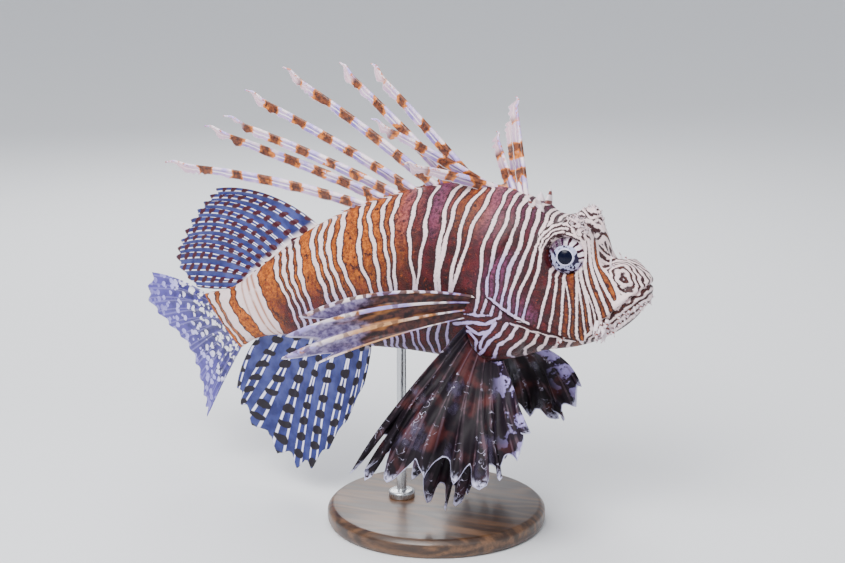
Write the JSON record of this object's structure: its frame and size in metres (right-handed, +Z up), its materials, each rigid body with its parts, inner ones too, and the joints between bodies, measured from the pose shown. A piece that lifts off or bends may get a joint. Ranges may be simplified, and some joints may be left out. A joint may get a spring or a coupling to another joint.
{
  "type": "red lionfish display model",
  "caption": "Life-size swimming lionfish with fanned dorsal spines and spread rayed fins, held above a round foot by one rod.",
  "frame": {"origin": "centre of the underside of the round stand foot", "axes": "+X towards the fish's snout, along the length; +Y to the fish's left; +Z up, out of the stand foot"},
  "size_m": [0.3111, 0.1308, 0.2429],
  "materials": {
    "skin": "satin, striped maroon and white",
    "fin": "satin, translucent membrane with pale rays",
    "spine": "satin, banded",
    "eye": "glossy",
    "stand_wood": "satin",
    "stand_steel": "brushed"
  },
  "bodies": {
    "root": {"head": "skin", "jaw": "skin", "torso": "skin", "tail_stalk": "skin", "eye_right": "eye", "eye_left": "eye", "dorsal_spines_nape": "spine", "dorsal_spines_mid": "spine", "dorsal_spines_rear": "spine", "dorsal_fin_soft": "fin", "anal_fin": "fin", "tail_fin": "fin", "pectoral_fin_upper_right": "fin", "pectoral_fin_lower_right": "fin", "pelvic_fin_right": "fin", "pectoral_fin_upper_left": "fin", "pectoral_fin_lower_left": "fin", "pelvic_fin_left": "fin", "stand_base": "stand_wood", "stand_rod": "stand_steel"}
  },
  "joints": []
}
